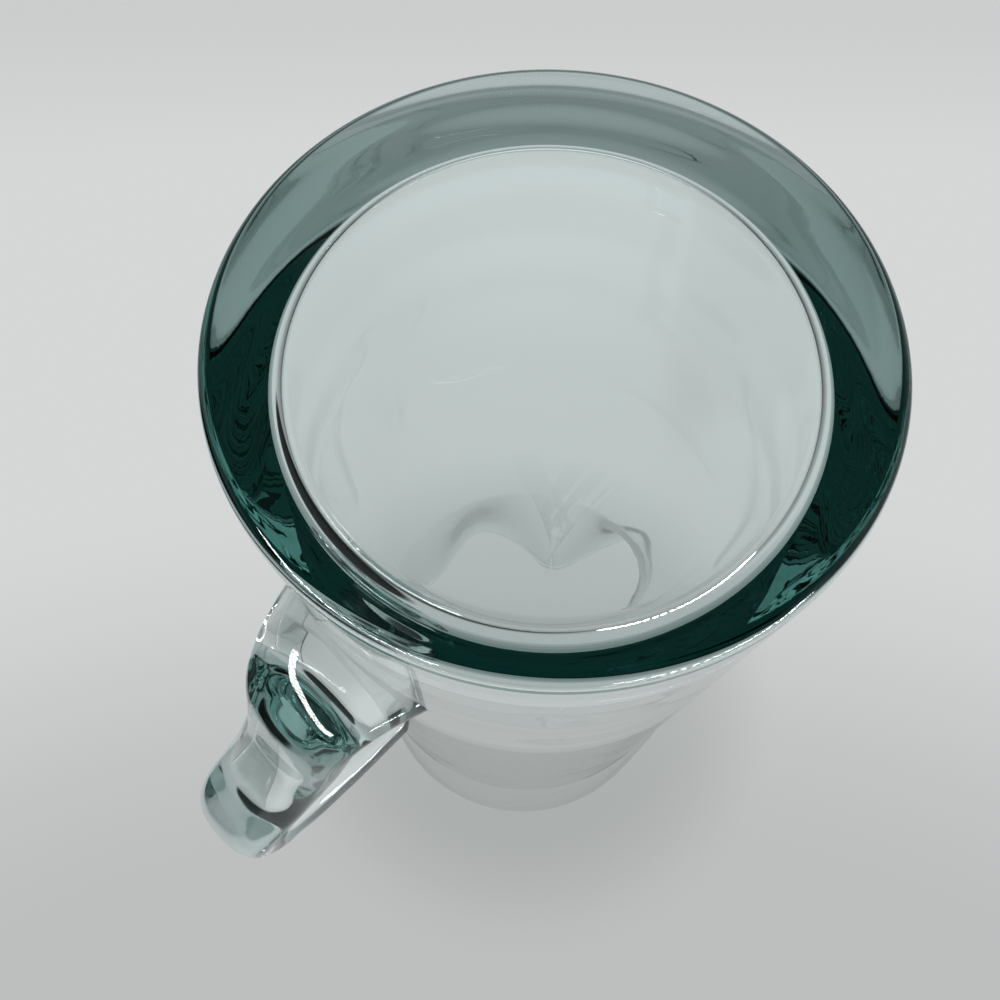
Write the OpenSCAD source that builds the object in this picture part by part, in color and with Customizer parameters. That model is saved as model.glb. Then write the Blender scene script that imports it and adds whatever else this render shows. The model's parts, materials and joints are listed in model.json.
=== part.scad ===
// Glass pitcher with a thick round base, a pinched pouring lip and an applied ear-shaped handle.
// The base rests on z = 0, the axis of the body is Z, the spout points to +X and the handle to -X.

/* [Body] */
// Widest diameter of the body, at the heel
base_d = 112; // [100:1:130]
// Radius of the rounding where the base turns up into the wall
heel_r = 2.5; // [2:0.5:6]
// Height of the rim above the surface that the pitcher stands on
height = 234; // [215:1:280]
// Outer diameter at the neck, where the straight wall ends and the lip begins
neck_d = 96.5; // [84:0.5:108]
// Height of the neck
neck_z = 175; // [168:1:190]
// Outer diameter of the mouth away from the spout
mouth_d = 98.5; // [88:0.5:112]

/* [Glass] */
// Thickness of the base under the cavity
floor_t = 14.6; // [8:0.2:24]
// Width of the rounded corner between the cavity floor and the wall
corner_w = 4.5; // [3:0.5:8]
// Height of the rounded corner
corner_h = 9.4; // [3:0.2:12]
// Thickness of the wall at the top of the rounded corner
wall_low = 7.5; // [5:0.5:12]
// Thickness of the wall above its taper, and of the lip
wall = 2.8; // [2.4:0.2:5]
// Height of the taper in which the wall thins from its lower to its upper thickness
taper_h = 52; // [30:1:120]

/* [Lip] */
// How far the tip of the spout is pulled out past the round mouth
spout_out = 24; // [14:1:30]
// Angle from the tip of the spout at which its pull has fallen to about a third
spout_spread = 13; // [10:1:18]
// How far the lip is pinched in on each side of the spout
pinch_in = 6; // [0:0.5:9]
// Angle between the spout and each pinch
pinch_at = 28; // [24:1:34]
// Angle from the middle of a pinch at which it has fallen to about a third
pinch_spread = 10; // [8:1:14]
// How far the lip swells out beyond the pinch on the -Y side
swell_left = 10; // [0:0.5:14]
// How far the lip swells out beyond the pinch on the +Y side
swell_right = 5; // [0:0.5:14]
// Angle between the spout and each swelling
swell_at = 60; // [52:1:75]
// Angle from the middle of a swelling at which it has fallen to about a third
swell_spread = 16; // [12:1:24]

/* [Handle] */
// Distance from the axis of the body to the centre line of the handle where it stands out most
handle_reach = 94; // [84:1:110]
// Height at which the handle leaves the wall
handle_low_z = 48; // [36:1:60]
// How far below the neck the handle comes back to the wall
handle_drop = 20; // [16:1:35]
// How far the upper end of the handle is set to -Y from the lower end
handle_lean = 13.5; // [0:0.5:16]
// Width of the grip, measured along Y
grip_w = 23; // [16:0.5:30]
// Thickness of the grip
grip_t = 13.5; // [9:0.5:18]
// Width of the handle where it is pressed on to the wall at its lower end
low_end_w = 42; // [30:1:54]
// Thickness of the handle at its lower end
low_end_t = 15; // [12:0.5:17]
// Width of the handle at its upper end
high_end_w = 25; // [18:0.5:34]
// Thickness of the handle at its upper end
high_end_t = 16; // [10:0.5:18]

/* [Hidden] */
$fn = 96;
glass_colour = [0.79, 0.87, 0.86];
// Overrun of a cut past the face that it leaves through
overrun = 2;

// Centre of the heel's rounding, in the plane of the profile
heel = [base_d / 2 - heel_r, heel_r];
// The straight wall runs from its tangent point on the heel to the neck
neck = [neck_d / 2, neck_z];
wall_foot = tangent_point(heel, heel_r, neck);
wall_slope = (neck.x - wall_foot.x) / (neck.y - wall_foot.y);
// Centre of the cavity's rounded corner, level with the top of the corner
corner_z = floor_t + corner_h;
corner = [outer_r(corner_z) - wall_low - corner_w, corner_z];
corner_steps = 14;
// Share of the taper's height above the corner, share of the extra thickness still there
taper_shares = [
    [0, 1], [0.12, 0.92], [0.27, 0.73], [0.42, 0.54], [0.62, 0.41], [0.86, 0.07], [1, 0]
];
taper_steps = 24;

// The lip starts as a ring sunk in the wall below the neck, set in from both faces of the wall
lip_lap = 2;
lip_seam = 0.12;
lip_h = height - neck_z;
// Rows of points up the lip, over its round edge, and points round it, closer near the spout
lip_rows = 12;
edge_rows = 6;
lip_points = 108;
crowding = 22;
// Angle to each side over which the direction of the lip's outline is measured
probe = 0.5;

// Centre line of the handle: share of the way from the wall out to the reach, share of the rise
handle_path_shares = [
    [-0.27, 0], [-0.1, 0], [0.06, 0], [0.2, 0.02], [0.3, 0.065], [0.37, 0.15], [0.46, 0.27],
    [0.62, 0.4], [0.88, 0.55], [1, 0.75], [0.91, 0.93], [0.47, 1], [0.05, 1], [-0.27, 0.98]
];
// Shares of the handle's length over which it widens towards its lower and its upper end
low_flare_share = 0.55;
high_flare_share = 0.2;
// Exponent of the handle's rounded section, where 2 is an ellipse
section_power = 2.4;
handle_rings = 60;
ring_points = 28;
handle_end = len(handle_path_shares) - 1;
handle_high_z = neck_z - handle_drop;

// Smooth step from 0 to 1
function ease(t) = let (c = max(0, min(1, t))) c * c * (3 - 2 * c);
// Round hump of height 1 about the angle at
function bell(angle, at, spread) = exp(-pow((angle - at) / spread, 2));
// Point where the line from a point beyond a circle touches the circle's outer side
function tangent_point(centre, radius, from) =
    let (
        way = from - centre,
        turn = atan2(way.y, way.x) - acos(radius / norm(way))
    )
    centre + radius * [cos(turn), sin(turn)];
// Outer radius of the straight wall at height z
function outer_r(z) = neck.x + wall_slope * (z - neck.y);
// Point of the cavity's rounded corner, a quarter of an ellipse, at a turn from -90 to 0
function corner_point(turn) = corner + [corner_w * cos(turn), corner_h * sin(turn)];
// Point of the cavity's wall at the share s of the taper's curve
function taper_point(s) =
    let (
        place = curve(taper_shares, s * (len(taper_shares) - 1)),
        z = corner_z + place.x * taper_h
    )
    [outer_r(z) - wall - place.y * (wall_low - wall), z];

// How far the rim's outline leaves the round mouth at an angle from the spout
function rim_push(angle) =
    spout_out * bell(angle, 0, spout_spread)
    - pinch_in * (bell(angle, -pinch_at, pinch_spread) + bell(angle, pinch_at, pinch_spread))
    + swell_left * bell(angle, -swell_at, swell_spread)
    + swell_right * bell(angle, swell_at, swell_spread);
// Outer radius of the lip: it goes on from the wall, widens to the mouth and takes the rim's shape
function lip_r(angle, z) =
    let (t = (z - neck_z) / lip_h)
    neck.x + wall_slope * lip_h * t * pow(1 - t, 2)
    + ease(t) * ((mouth_d - neck_d) / 2 + rim_push(angle));
function lip_outline(angle, z) = lip_r(angle, z) * [cos(angle), sin(angle)];
// Point of the lip at a depth in from its outer face, measured square to the outline
function lip_point(angle, z, depth) =
    let (
        along = lip_outline(angle + probe, z) - lip_outline(angle - probe, z),
        out = [along.y, -along.x] / norm(along),
        place = lip_outline(angle, z) - depth * out
    )
    [place.x, place.y, z];
// Height and depth of each row: up the outer face, over the round edge, down the inner face
lip_levels = [
    [neck_z - lip_lap, lip_seam],
    for (i = [0 : lip_rows]) [lip_row_z(i), 0],
    for (i = [1 : edge_rows - 1]) edge_level(180 * i / edge_rows),
    for (i = [lip_rows : -1 : 0]) [lip_row_z(i), wall],
    [neck_z - lip_lap, wall - lip_seam]
];
function lip_row_z(i) = neck_z + lip_lap + (lip_h - lip_lap - wall / 2) * i / lip_rows;
function edge_level(turn) = [height - wall / 2 * (1 - sin(turn)), wall / 2 * (1 - cos(turn))];
function lip_angle(k) = let (u = 360 * k / lip_points) u - crowding * sin(u);
function signed_angle(angle) = angle > 180 ? angle - 360 : angle;

// Point of a curve through the listed points, where u counts from the first point to the last
function curve(points, u) =
    let (
        last = len(points) - 1,
        i = min(floor(u), last - 1),
        t = u - i,
        b = points[i],
        c = points[i + 1],
        a = i > 0 ? points[i - 1] : 2 * b - c,
        d = i + 2 <= last ? points[i + 2] : 2 * c - b
    )
    (2 * b + (c - a) * t + (2 * a - 5 * b + 4 * c - d) * t * t + (3 * b - a - 3 * c + d) * t * t * t) / 2;
// Point [x, z] of the handle's centre line at the share s of its length
function handle_centre(s) =
    let (
        place = curve(handle_path_shares, s * handle_end),
        z = handle_low_z + place.y * (handle_high_z - handle_low_z),
        r = outer_r(z)
    )
    [-r - place.x * (handle_reach - r), z];
function handle_rise(s) = (handle_centre(s).y - handle_low_z) / (handle_high_z - handle_low_z);
function low_flare(s) = pow(max(0, 1 - s / low_flare_share), 2);
function high_flare(s) = pow(max(0, 1 - (1 - s) / high_flare_share), 2);
// A size of the handle that grows from its value at the grip towards both ends
function flared(s, grip, low_end, high_end) =
    grip + (low_end - grip) * low_flare(s) + (high_end - grip) * high_flare(s);
// One of the section's two coordinates, from -1 to 1
function rounded(share) = sign(share) * pow(abs(share), 2 / section_power);
function handle_ring(s) =
    let (
        step_share = 1 / handle_rings,
        centre = handle_centre(s),
        way = handle_centre(min(1, s + step_share)) - handle_centre(max(0, s - step_share)),
        out = [-way.y, way.x] / norm(way),
        half_t = flared(s, grip_t, low_end_t, high_end_t) / 2,
        half_w = flared(s, grip_w, low_end_w, high_end_w) / 2,
        y = -handle_lean * ease(handle_rise(s))
    )
    [
        for (j = [0 : ring_points - 1])
            let (
                turn = 360 * j / ring_points,
                place = centre + out * half_t * rounded(sin(turn))
            )
            [place.x, y + half_w * rounded(cos(turn)), place.y]
    ];

// Quads between each row of n points and the next one, where the first row follows the last if closed
function skin(rows, n, closed) = [
    for (i = [0 : rows - (closed ? 1 : 2)])
        for (k = [0 : n - 1])
            let (
                up = (i + 1) % rows,
                next = (k + 1) % n
            )
            [i * n + k, up * n + k, up * n + next, i * n + next]
];

// Outer shape of the body up to the neck, as a solid without its cavity
module outer_form() {
    rotate_extrude() {
        polygon([[0, 0], [heel.x, 0], wall_foot, neck, [0, neck.y]]);
        intersection() {
            translate(heel)
                circle(heel_r);
            square([base_d, neck_z]);
        }
    }
}

// The space inside the body up to the neck
module cavity_form() {
    rotate_extrude() {
        polygon([
            [0, floor_t],
            for (i = [0 : corner_steps]) corner_point(90 * (i / corner_steps - 1)),
            for (i = [1 : taper_steps]) taper_point(i / taper_steps),
            [outer_r(neck_z) - wall, neck_z],
            [outer_r(neck_z) - wall, neck_z + overrun],
            [0, neck_z + overrun]
        ]);
    }
}

// Thin wall from the neck to the rim, pulled and pinched into the pouring lip
module lip() {
    polyhedron(
        points = [
            for (level = lip_levels)
                for (k = [0 : lip_points - 1])
                    lip_point(signed_angle(lip_angle(k)), level[0], level[1])
        ],
        faces = skin(len(lip_levels), lip_points, true)
    );
}

// Thick base, tapering wall and pouring lip, blown as one piece of glass
module body() {
    color(glass_colour) {
        difference() {
            outer_form();
            cavity_form();
        }
        lip();
    }
}

// Solid glass strap pressed on to the wall at its wide lower end and brought back to it above
module handle() {
    rings = [for (i = [0 : handle_rings]) handle_ring(i / handle_rings)];
    last = handle_rings * ring_points;
    color(glass_colour)
        difference() {
            polyhedron(
                points = [for (ring = rings) for (point = ring) point],
                faces = [
                    each skin(len(rings), ring_points, false),
                    [for (j = [0 : ring_points - 1]) j],
                    [for (j = [ring_points - 1 : -1 : 0]) last + j]
                ]
            );
            outer_form();
        }
}

body();
handle();
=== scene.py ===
# %% [markdown]
# # A glass pitcher, lit and photographed from under its base
#
# The pitcher is a blown body with a thick clear base and a pinched pouring lip, and a strap of
# solid glass applied to its wall as a handle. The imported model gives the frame: it stands on
# z = 0 with its axis along Z, the spout at +X and the handle at -X. Every surface made here lies
# where the model has it, in metres.

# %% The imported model
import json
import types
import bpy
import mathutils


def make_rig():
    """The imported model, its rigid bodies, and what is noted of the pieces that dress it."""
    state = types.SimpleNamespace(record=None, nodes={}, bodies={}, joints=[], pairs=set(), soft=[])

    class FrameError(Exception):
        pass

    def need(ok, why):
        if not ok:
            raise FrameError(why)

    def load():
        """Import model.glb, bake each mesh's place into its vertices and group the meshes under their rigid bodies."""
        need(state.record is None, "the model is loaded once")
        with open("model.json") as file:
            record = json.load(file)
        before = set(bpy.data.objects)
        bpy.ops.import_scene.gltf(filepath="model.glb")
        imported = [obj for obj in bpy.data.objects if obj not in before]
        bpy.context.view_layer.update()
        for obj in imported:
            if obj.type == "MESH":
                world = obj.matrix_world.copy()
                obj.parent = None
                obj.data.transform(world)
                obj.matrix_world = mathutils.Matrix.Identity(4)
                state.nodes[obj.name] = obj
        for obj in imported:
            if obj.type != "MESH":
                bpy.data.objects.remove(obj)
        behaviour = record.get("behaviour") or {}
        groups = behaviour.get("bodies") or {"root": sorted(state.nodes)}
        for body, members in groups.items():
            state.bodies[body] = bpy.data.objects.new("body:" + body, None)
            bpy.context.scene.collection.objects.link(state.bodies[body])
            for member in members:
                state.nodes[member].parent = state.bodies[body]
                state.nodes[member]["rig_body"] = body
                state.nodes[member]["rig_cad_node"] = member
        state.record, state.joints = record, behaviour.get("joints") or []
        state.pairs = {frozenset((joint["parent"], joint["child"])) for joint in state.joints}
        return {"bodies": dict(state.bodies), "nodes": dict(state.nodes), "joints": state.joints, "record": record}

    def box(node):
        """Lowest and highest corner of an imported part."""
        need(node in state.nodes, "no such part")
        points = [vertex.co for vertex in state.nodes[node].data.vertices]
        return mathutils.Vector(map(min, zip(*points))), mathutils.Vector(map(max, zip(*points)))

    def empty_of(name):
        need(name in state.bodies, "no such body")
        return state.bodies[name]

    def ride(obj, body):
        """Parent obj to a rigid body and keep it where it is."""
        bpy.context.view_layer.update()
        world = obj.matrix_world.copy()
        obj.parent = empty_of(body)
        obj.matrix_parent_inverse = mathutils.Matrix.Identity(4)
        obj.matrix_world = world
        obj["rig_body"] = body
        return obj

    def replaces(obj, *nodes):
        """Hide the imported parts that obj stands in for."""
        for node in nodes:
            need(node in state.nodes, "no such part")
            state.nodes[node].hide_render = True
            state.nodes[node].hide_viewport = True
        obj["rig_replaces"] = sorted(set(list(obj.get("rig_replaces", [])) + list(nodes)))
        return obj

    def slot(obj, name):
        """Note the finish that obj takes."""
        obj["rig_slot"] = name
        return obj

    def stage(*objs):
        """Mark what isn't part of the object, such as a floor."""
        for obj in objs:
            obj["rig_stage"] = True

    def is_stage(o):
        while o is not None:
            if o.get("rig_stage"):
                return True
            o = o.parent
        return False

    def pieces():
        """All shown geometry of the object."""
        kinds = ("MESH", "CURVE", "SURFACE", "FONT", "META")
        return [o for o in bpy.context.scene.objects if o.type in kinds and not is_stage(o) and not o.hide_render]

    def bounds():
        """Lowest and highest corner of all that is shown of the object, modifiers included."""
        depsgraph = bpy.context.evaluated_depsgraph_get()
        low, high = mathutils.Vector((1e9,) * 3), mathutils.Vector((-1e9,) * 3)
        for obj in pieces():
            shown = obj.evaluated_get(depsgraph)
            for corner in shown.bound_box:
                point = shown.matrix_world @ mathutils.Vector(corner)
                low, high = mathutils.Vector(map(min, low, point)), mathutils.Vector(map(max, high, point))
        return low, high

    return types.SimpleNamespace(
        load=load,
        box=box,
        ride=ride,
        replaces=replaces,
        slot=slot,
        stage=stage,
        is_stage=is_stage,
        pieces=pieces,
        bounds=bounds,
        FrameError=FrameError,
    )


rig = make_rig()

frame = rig.load()

import json
import math

import bpy
import numpy as np
from mathutils import Matrix

cad_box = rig.bounds()
body_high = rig.box("body")[1]
print("bodies", list(frame["bodies"]), "nodes", list(frame["nodes"]))
print("model box", [round(v, 4) for v in cad_box[0]], [round(v, 4) for v in cad_box[1]])

# %% [markdown]
# ## Sizes
#
# What the model's box tells is read from it: the radius of the heel, which is half the width
# along Y, the height of the rim and how far the spout reaches. The other sizes are those of the
# glass itself, as a glassmaker would measure them with a calliper.

# %% Sizes of the body
heel_radius = body_high[1]
rim_z = body_high[2]
spout_reach = body_high[0]
heel_rounding = 0.0025
neck_radius = 0.04825
neck_z = 0.175
mouth_radius = 0.04925
base_thickness = 0.0146
corner_width, corner_height = 0.0045, 0.0094
wall_low = 0.0075
wall_high = 0.0028
taper_height = 0.052
lip_height = rim_z - neck_z
print("base", round(2 * heel_radius, 4), "m across, rim at", round(rim_z, 4), "m")

# %% [markdown]
# ## The straight wall
#
# The wall is a cone: in the plane of the profile it is a line that leaves the rounded heel as its
# tangent and ends at the neck. Blender could lathe a drawn outline, but a formula for the radius
# at each height lets every later piece ask where the wall is.

# %% Radius of the wall
def ease(t):
    """Smooth step: 0 below 0, 1 above 1, and 3 t squared less 2 t cubed between."""
    t = np.clip(t, 0, 1)
    return t * t * (3 - 2 * t)


def tangent_point(centre, radius, end):
    """Where the line from end touches the circle: the point whose radius is square to it."""
    way = end - centre
    turn = math.atan2(way[1], way[0]) - math.acos(radius / np.linalg.norm(way))
    return centre + radius * np.array((math.cos(turn), math.sin(turn)))


heel_centre = np.array((heel_radius - heel_rounding, heel_rounding))
neck = np.array((neck_radius, neck_z))
wall_foot = tangent_point(heel_centre, heel_rounding, neck)
wall_slope = (neck[0] - wall_foot[0]) / (neck[1] - wall_foot[1])


def outer_radius(z):
    """Radius of the straight wall: the neck's radius plus the slope times the height above it."""
    return neck[0] + wall_slope * (z - neck[1])


print("the wall leans in", round(math.degrees(math.atan(-wall_slope)), 2), "degrees")

# %% [markdown]
# ## The pouring lip
#
# The glassmaker pulls a spout out of the soft rim and pinches the wall in on both sides of it,
# which also makes the rim swell beyond each pinch. Each of these is a bell curve over the angle
# from the spout, and together they say how far the rim leaves a plain round mouth. The push
# fades away towards the neck by the smooth step.

# %% Radius of the lip
spout_spread = 13
pinch_in, pinch_at, pinch_spread = 0.006, 28, 10
swell_at, swell_spread = 60, 16
swell_left, swell_right = 0.010, 0.005


def bell(angle, at, spread):
    """exp of minus the square of the angle from the bell's middle over its spread, in degrees."""
    return np.exp(-(((angle - at) / spread) ** 2))


def side_push(angle):
    """The two swellings of the rim less its two pinches, each a bell about its own angle."""
    pinches = bell(angle, -pinch_at, pinch_spread) + bell(angle, pinch_at, pinch_spread)
    swells = swell_left * bell(angle, -swell_at, swell_spread)
    return swells + swell_right * bell(angle, swell_at, swell_spread) - pinch_in * pinches


def fade(z):
    """Share of the lip's shape at height z: the smooth step from the neck to the rim."""
    return ease((z - neck_z) / lip_height)


def round_radius(z):
    """Radius of the unpinched wall: the cone, whose lean dies out as the mouth opens."""
    t = np.clip((z - neck_z) / lip_height, 0, 1)
    opened = neck_radius + wall_slope * lip_height * t * (1 - t) ** 2
    opened = opened + ease(t) * (mouth_radius - neck_radius)
    return np.where(z < neck_z, outer_radius(z), opened)


widest_z = rim_z - wall_high / 2
spout_out = (spout_reach - round_radius(widest_z)) / fade(widest_z) - side_push(0.0)


def outline(angle, z):
    """Outer face at an angle in degrees and a height: the radius times (cosine, sine)."""
    push = spout_out * bell(angle, 0, spout_spread) + side_push(angle)
    radius = round_radius(z) + fade(z) * push
    turn = np.radians(angle)
    return np.stack((radius * np.cos(turn), radius * np.sin(turn)), -1)


def wall_point(angle, z, depth):
    """A point inside the outer face by depth, measured square to the outline at that height."""
    probe = 0.5
    along = outline(angle + probe, z) - outline(angle - probe, z)
    along /= np.linalg.norm(along, axis=-1, keepdims=True)
    outward = np.stack((along[..., 1], -along[..., 0]), -1)
    flat = outline(angle, z) - depth[..., None] * outward
    return np.concatenate((flat, np.broadcast_to(z, depth.shape)[..., None]), -1)


print("the spout is pulled out", round(float(spout_out) * 1000, 1), "mm")

# %% [markdown]
# ## From a grid of points to a mesh
#
# Both pieces are grids: rows along the piece, columns round it. The columns close on themselves,
# and the first and last rows close on a single point, so the skin has no hole. Quads between
# neighbouring points carry smooth shading well, which matters in glass, where each facet would
# show as a bend in what is seen through it.

# %% Mesh of a closed skin
def closed_skin(name, rows, first, last):
    """Makes a mesh object from rows of points that ring a shape and from its two end points.

    rows has the shape (rows, columns, 3) and runs so that the outside is on the right hand when
    looking along a row in the direction of growing columns with the next row above.
    """
    count, around = rows.shape[:2]
    points = np.concatenate((rows.reshape(-1, 3), [first, last]))
    row, column = np.mgrid[0:count - 1, 0:around]
    here = row * around + column
    beside = row * around + (column + 1) % around
    quads = np.stack((here, beside, beside + around, here + around), -1).reshape(-1, 4)
    ring = np.arange(around)
    after = (ring + 1) % around
    start = np.stack((after, ring, np.full(around, count * around)), -1)
    top = (count - 1) * around
    end = np.stack((top + ring, top + after, np.full(around, count * around + 1)), -1)
    mesh = bpy.data.meshes.new(name)
    mesh.from_pydata(points.tolist(), [], quads.tolist() + start.tolist() + end.tolist())
    mesh.polygons.foreach_set("use_smooth", np.ones(len(mesh.polygons), bool))
    mesh.update()
    piece = bpy.data.objects.new(name, mesh)
    bpy.context.scene.collection.objects.link(piece)
    return piece


# %% [markdown]
# ## The body
#
# Its skin starts under the base, turns up round the heel, climbs the wall, rolls over the rim and
# comes down inside to the floor of the cavity. That profile is made of straight lines, arcs and
# one free curve through a few points, and a small function makes each kind. Arrays of points are
# simpler here than a curve object, because the lip bends each row in its own way later.

# %% Lines, arcs and a free curve
def arc(centre, radius, start, stop, count):
    """Points (radius, height) of a profile: the centre plus radius times (cosine, sine)."""
    turn = np.radians(np.linspace(start, stop, count))
    return np.stack((centre[0] + radius * np.cos(turn), centre[1] + radius * np.sin(turn)), -1)


def line(start, stop, count):
    """Points of a profile at even steps from start to stop."""
    return np.linspace(start, stop, count)


def smooth_curve(points, u):
    """Cubic through the points, whose slope at each is half the way between its neighbours."""
    ends = (2 * points[0] - points[1], 2 * points[-1] - points[-2])
    padded = np.concatenate(([ends[0]], points, [ends[1]]))
    i = np.minimum(u.astype(int), len(points) - 2)
    t = (u - i)[:, None]
    a, b, c, d = (padded[i + k] for k in range(4))
    bend = (2 * a - 5 * b + 4 * c - d) * t**2
    twist = (3 * b - a - 3 * c + d) * t**3
    return (2 * b + (c - a) * t + bend + twist) / 2


# %% [markdown]
# The wall is thick at the floor and thins as it rises, as it does when a gather of glass is blown
# out, and the ring of dark teal in the picture is light caught in that thick lower wall. So the
# inside has a rounded corner, then a taper, then a wall of even thickness up to the lip.

# %% Profile of the body
# Share of the taper's height above the corner, share of the extra thickness still there
taper_shares = np.array((
    (0, 1), (0.12, 0.92), (0.27, 0.73), (0.42, 0.54), (0.62, 0.41), (0.86, 0.07), (1, 0),
))

corner_z = base_thickness + corner_height
corner_r = outer_radius(corner_z) - wall_low - corner_width
foot_turn = math.degrees(math.atan2(wall_foot[1] - heel_centre[1], wall_foot[0] - heel_centre[0]))
base_edge = np.array((heel_centre[0], 0))
floor_edge = np.array((corner_r, base_thickness))

# Radius of the innermost points, whose ring a single point closes
pole_radius = 0.002
underside = line((pole_radius, 0), base_edge, 16)
heel = arc(heel_centre, heel_rounding, -90, foot_turn, 20)[1:]
wall_rows = line(wall_foot, neck, 34)[1:]
quarter = arc((0, 0), 1, 0, -90, 30)
corner = np.array((corner_r, corner_z)) + quarter * (corner_width, corner_height)
place = smooth_curve(taper_shares, np.linspace(len(taper_shares) - 1, 0, 46))
taper_z = corner_z + place[:, 0] * taper_height
thickness = wall_high + place[:, 1] * (wall_low - wall_high)
taper = np.stack((outer_radius(taper_z) - thickness, taper_z), -1)
even_z = np.linspace(neck_z, taper_z[0], 24)[:-1]
even_wall = np.stack((outer_radius(even_z) - wall_high, even_z), -1)
cavity_floor = line(floor_edge, (pole_radius, base_thickness), 14)[1:]
print("wall", wall_low, "m thick above the corner and", wall_high, "m at the neck")

# %% [markdown]
# Each row is a height and a depth in from the outer face, so the inside follows every bend of the
# lip. The rim is half a circle from the one face to the other. The columns stand closer together
# at the spout, where the rim bends most.

# %% Rows of the body
below = np.concatenate((underside, heel, wall_rows))
inside = np.concatenate((even_wall, taper, corner[1:], cavity_floor))
lip_z = np.linspace(neck_z, widest_z, 34)[1:]
edge_turn = np.radians(np.linspace(0, 180, 13)[1:-1])
edge_z = widest_z + wall_high / 2 * np.sin(edge_turn)
edge_depth = wall_high / 2 * (1 - np.cos(edge_turn))
heights = np.concatenate((below[:, 1], lip_z, edge_z, lip_z[::-1], inside[:, 1]))
depths = np.concatenate((
    outer_radius(below[:, 1]) - below[:, 0],
    np.zeros(len(lip_z)),
    edge_depth,
    np.full(len(lip_z), wall_high),
    outer_radius(inside[:, 1]) - inside[:, 0],
))

around, crowding = 368, 22
step = np.linspace(0, 2 * np.pi, around, endpoint=False)
angles = np.degrees(step) - crowding * np.sin(step)
angles = np.where(angles > 180, angles - 360, angles)
columns, levels = np.meshgrid(angles, heights)
rows = wall_point(columns, levels, np.broadcast_to(depths[:, None], levels.shape))
body = closed_skin("body_glass", rows, (0, 0, 0), (0, 0, base_thickness))
print("body", rows.shape[0], "rows of", rows.shape[1], "points")

# %% [markdown]
# ## The handle
#
# A strap of hot glass is pressed on to the wall low down, drawn out and up, and folded back to
# the wall. Its centre line passes through a few listed points, each a share of the way
# out to the grip and of the rise. A rounded section rides along that line, wide where it is
# pressed on. The same form could be a curve object with a bevel, but the section changes along
# the way and its two ends have to end on the wall.

# %% Section along a path
# Centre line at its farthest from the axis, a hair short of the model's
handle_reach = 0.09399
low_z, high_z = 0.048, 0.155
handle_lean = 0.0135
path_shares = np.array((
    (-0.27, 0), (-0.1, 0), (0.06, 0), (0.2, 0.02), (0.3, 0.065), (0.37, 0.15), (0.46, 0.27),
    (0.62, 0.4), (0.88, 0.55), (1, 0.75), (0.91, 0.93), (0.47, 1), (0.05, 1), (-0.27, 0.98),
))
grip_width, low_width, high_width = 0.023, 0.042, 0.025
grip_depth, low_depth, high_depth = 0.0135, 0.015, 0.016
low_flare_share, high_flare_share = 0.55, 0.2
section_power = 2.4


def flared(share, grip, low_end, high_end):
    """The grip's size plus what each end adds times the square of the nearness to that end."""
    near_low = np.clip(1 - share / low_flare_share, 0, 1) ** 2
    near_high = np.clip(1 - (1 - share) / high_flare_share, 0, 1) ** 2
    return grip + (low_end - grip) * near_low + (high_end - grip) * near_high


def rounded(value):
    """Superellipse coordinate: the value's size to the power 2 over the exponent, sign kept."""
    return np.sign(value) * np.abs(value) ** (2 / section_power)


def handle_rows(rings, points):
    """Rings of points: the centre line plus half the depth outward and half the width along Y."""
    share = np.linspace(0, 1, rings)
    place = smooth_curve(path_shares, share * (len(path_shares) - 1))
    z = low_z + place[:, 1] * (high_z - low_z)
    wall = outer_radius(z)
    x = -wall - place[:, 0] * (handle_reach - wall)
    y = -handle_lean * ease(place[:, 1])
    way = np.stack((np.gradient(x), np.gradient(z)), -1)
    way /= np.linalg.norm(way, axis=1, keepdims=True)
    turn = np.linspace(0, 2 * np.pi, points, endpoint=False)
    deep = flared(share, grip_depth, low_depth, high_depth)[:, None] / 2 * rounded(np.sin(turn))
    wide = flared(share, grip_width, low_width, high_width)[:, None] / 2 * rounded(np.cos(turn))
    centres = np.stack((x, y, z), -1)
    rows = np.stack((
        x[:, None] - way[:, 1:] * deep,
        y[:, None] + wide,
        z[:, None] + way[:, :1] * deep,
    ), -1)
    return rows, centres


print("grip", grip_width, "m wide and", grip_depth, "m deep")

# %% [markdown]
# The sweep's ends reach into the wall. They are cut off by a solid a hair smaller than the body's
# outside, so that the strap starts just inside the wall's face and no gap of air shows between
# the two pieces.

# %% Handle cut to the wall
handle_rings, handle_points = 170, 72
rows, centres = handle_rows(handle_rings, handle_points)
handle = closed_skin("handle_glass", rows, centres[0], centres[-1])
bite = 0.0003
cutter_rings, cutter_step = 30, 1.0
cutter_turn, cutter_z = np.meshgrid(
    np.radians(np.arange(0.0, 360.0, cutter_step)), np.linspace(0, neck_z, cutter_rings),
)
cutter_radius = outer_radius(cutter_z) - bite
cutter_points = np.stack(
    (cutter_radius * np.cos(cutter_turn), cutter_radius * np.sin(cutter_turn), cutter_z), -1,
)
cutter = closed_skin("cutter", cutter_points, (0, 0, 0), (0, 0, neck_z))
cut = handle.modifiers.new("cut", "BOOLEAN")
cut.operation = "DIFFERENCE"
cut.solver = "EXACT"
cut.object = cutter
ready = handle.evaluated_get(bpy.context.evaluated_depsgraph_get())
strap = bpy.data.meshes.new_from_object(ready)
handle.modifiers.clear()
handle.data = strap
bpy.data.objects.remove(cutter)
strap.polygons.foreach_set("use_smooth", np.ones(len(strap.polygons), bool))
sharp_from = math.radians(40)
strap.set_sharp_from_angle(angle=sharp_from)
print("handle", len(strap.vertices), "points,", len(strap.polygons), "faces")

# %% [markdown]
# ## Sockets that Python can calculate with
#
# A shader is a net of nodes. Sums are easier to read as expressions, so a small class wraps a
# socket: an operator between two of them, or with a number, adds the Math node that does it.

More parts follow.
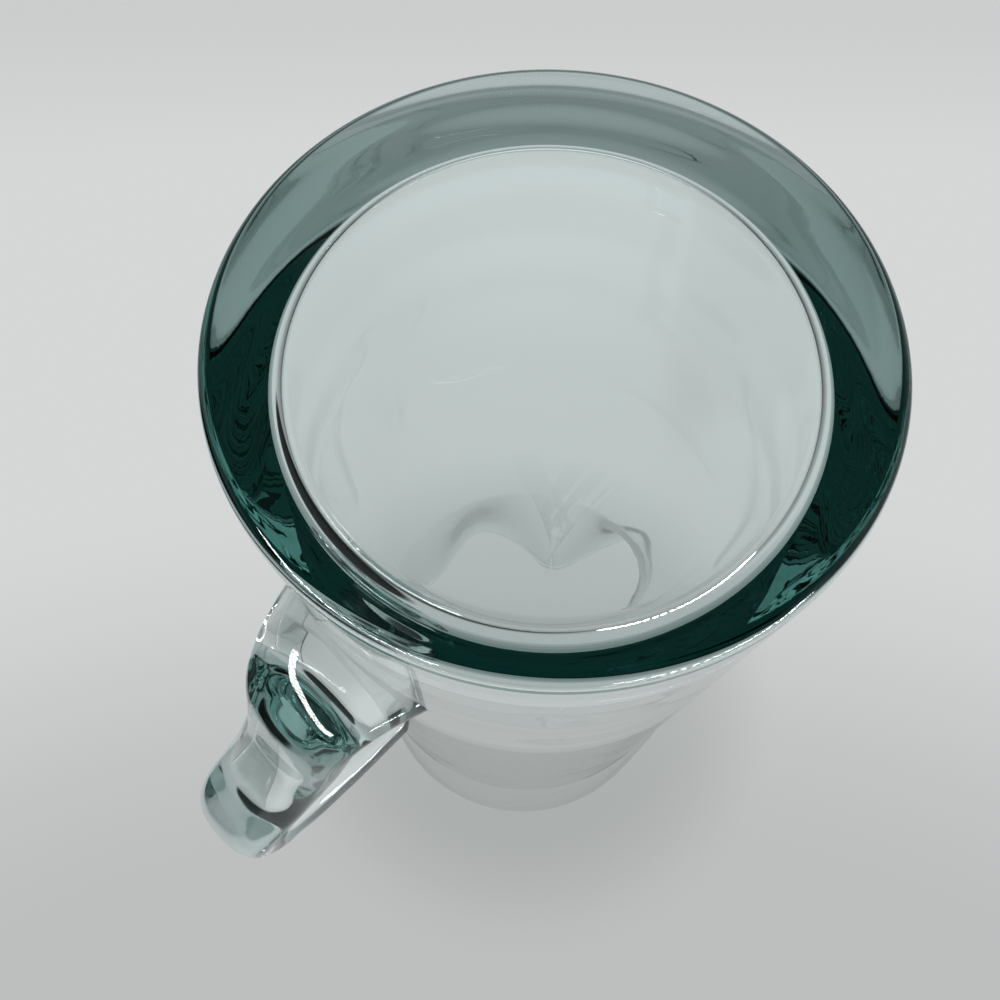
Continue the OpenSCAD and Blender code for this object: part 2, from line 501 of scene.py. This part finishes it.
# %% Shader expressions
class Shade:
    """An output socket of a node tree. Operators add Math nodes, and node() adds any other."""

    def __init__(self, tree, socket=None):
        self.tree = tree
        self.socket = socket

    def node(self, kind, settings=None, inputs=None, output=0):
        """Adds a node of a kind, sets its fields, fills or links its sockets, returns an output."""
        made = self.tree.nodes.new("ShaderNode" + kind)
        for name, value in (settings or {}).items():
            setattr(made, name, value)
        for name, value in (inputs or {}).items():
            if isinstance(value, Shade):
                self.tree.links.new(value.socket, made.inputs[name])
            else:
                made.inputs[name].default_value = value
        return Shade(self.tree, made.outputs[output] if len(made.outputs) else None)

    def math(self, operation, *values):
        """A Math node over this socket and the values."""
        return self.node("Math", {"operation": operation}, dict(enumerate((self, *values))))

    def __add__(self, other):
        return self.math("ADD", other)

    def __sub__(self, other):
        return self.math("SUBTRACT", other)

    def __rsub__(self, other):
        return self.node("Math", {"operation": "SUBTRACT"}, {0: other, 1: self})

    def __mul__(self, other):
        return self.math("MULTIPLY", other)

    __radd__ = __add__
    __rmul__ = __mul__

    def towards(self, other, share):
        """This value moved a share of the way to the other."""
        return self + share * (other - self)

    def dot(self, direction):
        """Share of this vector that lies along a fixed direction."""
        return self.node(
            "VectorMath", {"operation": "DOT_PRODUCT"}, {0: self, 1: direction}, "Value",
        )

    def length(self):
        """Distance of this vector from the origin."""
        return self.node("VectorMath", {"operation": "LENGTH"}, {0: self}, "Value")

    def smooth(self, low, high, at_low=0.0, at_high=1.0):
        """Goes smoothly from at_low where this is low to at_high where it is high."""
        return self.node(
            "MapRange", {"interpolation_type": "SMOOTHSTEP"},
            {"Value": self, "From Min": low, "From Max": high, "To Min": at_low, "To Max": at_high},
        )


# %% [markdown]
# ## Glass
#
# Clear soda-lime glass looks colourless in a thin wall and teal where light has run a long way in
# it, since it takes more red than green and blue. So the colour is not painted on the surface:
# the volume absorbs, a share of each colour for each metre of the way. Blown glass is never quite
# even either. Broad faint waves, and fine streaks that were drawn out along the wall, bend the
# light that is mirrored inside it.

# %% Glass material
absorbed_per_metre = np.array((6.0, 1.5, 1.9))
glass_ior = 1.5
wave_scale = 60.0
streak_scale, streak_share = 450.0, 0.35
streak_stretch = (1, 1, 0.06)


def new_material(name):
    """A material whose node tree is empty, and the expression that its nodes start from."""
    material = bpy.data.materials.new(name)
    material.use_nodes = True
    material.node_tree.nodes.clear()
    return material, Shade(material.node_tree)


def glass(name, wave_height):
    """Clear glass: a Principled surface that lets all light through, over an absorbing volume."""
    material, start = new_material(name)
    place = start.node("TexCoord", output="Object")
    waves = place.node("TexNoise", inputs={"Vector": place, "Scale": wave_scale, "Detail": 1.0})
    drawn = place.node("VectorMath", {"operation": "MULTIPLY"}, {0: place, 1: streak_stretch})
    streaks = drawn.node("TexNoise", inputs={
        "Vector": drawn, "Scale": streak_scale, "Detail": 2.0,
    })
    bump = waves.node("Bump", inputs={
        "Height": waves + streaks * streak_share, "Distance": wave_height, "Strength": 1.0,
    })
    surface = start.node("BsdfPrincipled", inputs={
        "Base Color": (1, 1, 1, 1), "Roughness": 0.0, "IOR": glass_ior,
        "Transmission Weight": 1.0, "Normal": bump,
    })
    strongest = float(absorbed_per_metre.max())
    passed = 1 - absorbed_per_metre / strongest
    volume = start.node("VolumeAbsorption", inputs={
        "Color": (*passed.tolist(), 1), "Density": strongest,
    })
    start.node("OutputMaterial", inputs={"Surface": surface, "Volume": volume})
    return material


wave_height = 0.00001
body.data.materials.append(glass("body_glass", wave_height))
handle.data.materials.clear()
handle.data.materials.append(glass("handle_glass", wave_height))
for piece, node in ((body, "body"), (handle, "handle")):
    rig.ride(piece, "root")
    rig.replaces(piece, node)
    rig.slot(piece, node + "_glass")
print("through 10 cm of glass:", np.exp(-0.1 * absorbed_per_metre).round(2))

# %% [markdown]
# ## Camera
#
# The photograph looks up at the base from close by and a little to one side. The eye's place is
# given by the base's own axis: how far the eye stands off it, to which side, and how far away.

# %% Camera
picture_px = 1000
focal_px = 1000
eye_radius, eye_azimuth, eye_below = 0.0855, 142.5, 0.1335
look_tilt, look_azimuth, look_roll = 22.96, -43.1, 0.38


def from_angles(tilt, azimuth):
    """Unit vector at a tilt from +Z and an azimuth from +X, in degrees."""
    t, a = math.radians(tilt), math.radians(azimuth)
    return np.array((math.sin(t) * math.cos(a), math.sin(t) * math.sin(a), math.cos(t)))


eye = eye_radius * from_angles(90, eye_azimuth) - (0, 0, eye_below)
forward = from_angles(look_tilt, look_azimuth)
level_right = from_angles(90, look_azimuth + 90)
level_up = np.cross(level_right, forward)
roll = math.radians(look_roll)
right = math.cos(roll) * level_right + math.sin(roll) * level_up
up = np.cross(right, forward)

camera = bpy.data.objects.new("camera", bpy.data.cameras.new("camera"))
bpy.context.scene.collection.objects.link(camera)
camera.data.sensor_width = 36
camera.data.lens = camera.data.sensor_width * focal_px / picture_px
camera.data.clip_start = 0.001
turned = np.stack((right, up, -forward), -1)
camera.matrix_world = Matrix([[*turned[k], eye[k]] for k in range(3)] + [[0, 0, 0, 1]])
bpy.context.scene.camera = camera
print("eye at", eye.round(4))

# %% [markdown]
# ## Stage
#
# The floor is pale and one-sided: from above it is a plain floor, and from below, where the
# photograph is taken, it lets every ray pass, as if the pitcher stood on a sheet of clear glass.
# A ray that came up through it finds it open on the way back too. Two helpers hold what the other
# stage pieces share with it.

# %% Floor
def flat_piece(name, points, faces):
    """Makes a stage object of flat faces."""
    mesh = bpy.data.meshes.new(name)
    mesh.from_pydata(points, [], faces)
    piece = bpy.data.objects.new(name, mesh)
    bpy.context.scene.collection.objects.link(piece)
    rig.stage(piece)
    return piece


def partly_clear(start, share, other):
    """Shows the other shader for a share of the light and lets the rest pass."""
    clear = start.node("BsdfTransparent")
    mixed = start.node("MixShader", inputs={0: share, 1: clear, 2: other})
    start.node("OutputMaterial", inputs={"Surface": mixed})


floor_half, floor_gap = 3.0, 0.0002
floor = flat_piece(
    "floor",
    [(x * floor_half, y * floor_half, -floor_gap) for x, y in ((-1, -1), (1, -1), (1, 1), (-1, 1))],
    [(0, 1, 2, 3)],
)
material, start = new_material("floor")
from_below = start.node("NewGeometry", output="Backfacing")
passed_below = start.node("LightPath", output="Transparent Depth")
open_below = from_below.math("MAXIMUM", passed_below).math("GREATER_THAN", 0.5)
pale = start.node("BsdfDiffuse", inputs={"Color": (0.80, 0.81, 0.81, 1)})
partly_clear(start, 1 - open_below, pale)
floor.data.materials.append(material)
print("floor", 2 * floor_half, "m wide,", round(floor_gap * 1000, 1), "mm under the base")

# %% [markdown]
# In the photograph the pitcher stands on its mouth. Light that runs up inside the wall leaves
# through the rim and meets the ground there, where little light falls. So a ring of painted shade
# lies on the rim, a faint teal glow in place of that shaded ground: it is clear for light that was
# mirrored a few times, and closes for light that ran up the wall. It follows the rim's own outline,
# a little past it on both sides.

# %% Painted shade at the rim's contact
def ring_at_rim(name, outer_depth, inner_depth, z, capped):
    """A flat strip that follows the rim between two depths, and a cap across it if asked for."""
    ring_angles, ring_depths = np.meshgrid(angles, (outer_depth, inner_depth))
    points = wall_point(ring_angles, np.full(ring_angles.shape, z), ring_depths)
    column = np.arange(around)
    beside = (column + 1) % around
    quads = np.stack((column, beside, beside + around, column + around), -1).tolist()
    cap = [(column + around).tolist()] if capped else []
    return flat_piece(name, points.reshape(-1, 3).tolist(), quads + cap)


past_rim, film_gap = 0.003, 0.0003
contact_z = rim_z + film_gap
rim_contact = ring_at_rim("rim_contact", -past_rim, wall_high + past_rim, contact_z, False)
rim_contact.visible_camera = False
few_turns, many_turns = 5, 8
material, start = new_material("rim_contact")
from_below = start.node("NewGeometry", output="Backfacing")
ran_up = start.node("LightPath", output="Glossy Depth").smooth(few_turns, many_turns)
# Painted shade: a faint teal glow stands in for the dark ground under the rim
dim = start.node("Emission", inputs={"Color": (0.4, 1.0, 0.95, 1), "Strength": 0.035})
partly_clear(start, from_below * ran_up, dim)
rim_contact.data.materials.append(material)
print("contact ring", round((wall_high + 2 * past_rim) * 1000, 1), "mm wide")

# %% [markdown]
# The pitcher also shades the ground in and round its mouth. A film does that: it takes a fifth of
# the light inside the rim and less and less farther out. It is open from above, like the ring.

# %% Shade at the mouth
shade_width = 0.050
shade_z = contact_z + film_gap
full_shade, no_shade = 0.240, 0.254
mouth_shade = ring_at_rim("mouth_shade", -shade_width, wall_high + past_rim, shade_z, True)
material, start = new_material("mouth_shade")
from_below = start.node("NewGeometry", output="Backfacing")
from_origin = start.node("TexCoord", output="Object").length()
shaded = start.node("BsdfTransparent", inputs={"Color": (0.80, 0.82, 0.81, 1)})
partly_clear(start, from_below * from_origin.smooth(full_shade, no_shade, 1.0, 0.0), shaded)
mouth_shade.data.materials.append(material)
print("shade ends", round(math.sqrt(no_shade**2 - shade_z**2), 3), "m from the axis")

# %% [markdown]
# ## Light
#
# The world is one large soft light, and glass shows its form only by what it mirrors and bends.
# Places in the world are given by direction: a round spot, and a row of small lamps, which is a
# narrow band at some angle from a pole, cut to a length and dotted along it.

# %% Places in the world
def spot(direction, elevation, azimuth, full, none):
    """1 within the angle full of a direction, 0 beyond the angle none, smooth between."""
    aim = from_angles(90 - elevation, azimuth)
    limits = (math.cos(math.radians(none)), math.cos(math.radians(full)))
    return direction.dot(tuple(aim)).smooth(*limits)


lamp_half_width, lamp_spacing = 3, 2.6
blunt_end = 1.05


def lamp_row(direction, pole, from_pole, middle, half_length):
    """The band's closeness to its angle, times its length about the middle, times the dots.

    The dots are a sine of the angle turned round the pole, cut to bright and dark.
    """
    axis = from_angles(90 - pole[0], pole[1])
    centre = from_angles(90 - middle[0], middle[1])
    ahead = centre - axis * (centre @ axis)
    ahead /= np.linalg.norm(ahead)
    beside = np.cross(axis, ahead)
    size = math.sin(math.radians(from_pole))
    edge = size * math.radians(lamp_half_width)
    off_line = (direction.dot(tuple(axis)) - math.cos(math.radians(from_pole))).math("ABSOLUTE")
    turn = direction.dot(tuple(beside)).math("ARCTAN2", direction.dot(tuple(ahead)))
    end = math.radians(half_length / size)
    within = turn.math("ABSOLUTE").smooth(end, end * blunt_end, 1.0, 0.0)
    dots = (turn * (360 / lamp_spacing * size)).math("SINE").smooth(-0.6, 0.4)
    return off_line.smooth(edge * 0.7, edge, 1.0, 0.0) * within * dots


print("a lamp every", lamp_spacing, "degrees of a row")

# %% [markdown]
# Past the mouth lies a pale backdrop, palest in a broad band and a little dimmer on both sides of
# it. A ray that was never mirrored sees it all round, so that the glass is clear from every side.
# A mirrored ray sees the surround: dim below, dark behind the camera and on the handle's side, a
# soft lamp to the right, and two rows of small lamps, which draw the bright dotted lines along
# the heel.

# %% Backdrop, surround and lamps
world = bpy.data.worlds.new("studio")
bpy.context.scene.world = world
world.use_nodes = True
world.node_tree.nodes.clear()
start = Shade(world.node_tree)
direction = start.node("TexCoord", output="Generated")
upward = direction.dot((0, 0, 1))
across = direction.dot(tuple(from_angles(40, 136)))
backdrop = across.smooth(0.42, 0.72, 0.68, 0.52) * across.smooth(0.0, 0.15, 0.90, 1.0)

surround = upward.smooth(-0.75, -0.1, 0.04, 0.35)
level = surround.towards(backdrop, upward.smooth(-0.1, 0.4))
behind_camera = spot(direction, -45, 155, 50, 64)
handle_side = spot(direction, 24, -146, 29, 35)
dark_share, soft_strength, lamp_strength = 0.98, 0.8, 50
level = level * (1 - behind_camera.math("MAXIMUM", handle_side) * dark_share)
level = level + spot(direction, -38, -40, 8, 22) * soft_strength
row_left = lamp_row(direction, (-55, 127.5), 56.2, (-28, -170), 34)
row_right = lamp_row(direction, (-21.7, 105.2), 32, (0.4, 95.7), 28)
level = level + (row_left + row_right) * lamp_strength
print("soft lamp of strength", soft_strength, "and small ones of", lamp_strength)

# %% [markdown]
# A perfect surface loses no light and a real one loses a little, but most of this dimming is
# painted shade: light that was mirrored a few times is dimmed a little, and light that ran up the
# wall, mirrored many times, is almost gone, which darkens the glass where its light runs long ways.

# %% World
few_left, many_left, least_level = 0.45, 0.08, 0.015
mirrored = start.node("LightPath", output="Glossy Depth")
# Painted shade: the world dims for light mirrored inside the glass
after_few = level * mirrored.smooth(0, 4, 1.0, few_left)
after_many = after_few * many_left + least_level
level = after_few.towards(after_many, mirrored.smooth(6.5, 10))
straight = mirrored.math("LESS_THAN", 0.5)
level = level.towards(backdrop, straight)
red_share = 0.98
colour = start.node("CombineColor", inputs={0: level * red_share, 1: level, 2: level})
background = start.node("Background", inputs={"Color": colour})
start.node("OutputWorld", inputs={"Surface": background})
print("world of", len(world.node_tree.nodes), "nodes")

# %% [markdown]
# ## Paths of light
#
# Light goes back and forth many times inside thick glass, so it may turn often before it is given
# up.

# %% Bounces
turns_allowed = 64
cycles = bpy.context.scene.cycles
cycles.max_bounces = turns_allowed
cycles.transmission_bounces = turns_allowed
cycles.glossy_bounces = turns_allowed
bpy.context.scene.view_settings.view_transform = "Standard"
print("light may turn", cycles.max_bounces, "times")

# %% The two boxes
json.dump(
    {"cad": [list(c) for c in cad_box], "visual": [list(c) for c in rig.bounds()]},
    open("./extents.json", "w"),
)
print(open("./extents.json").read())
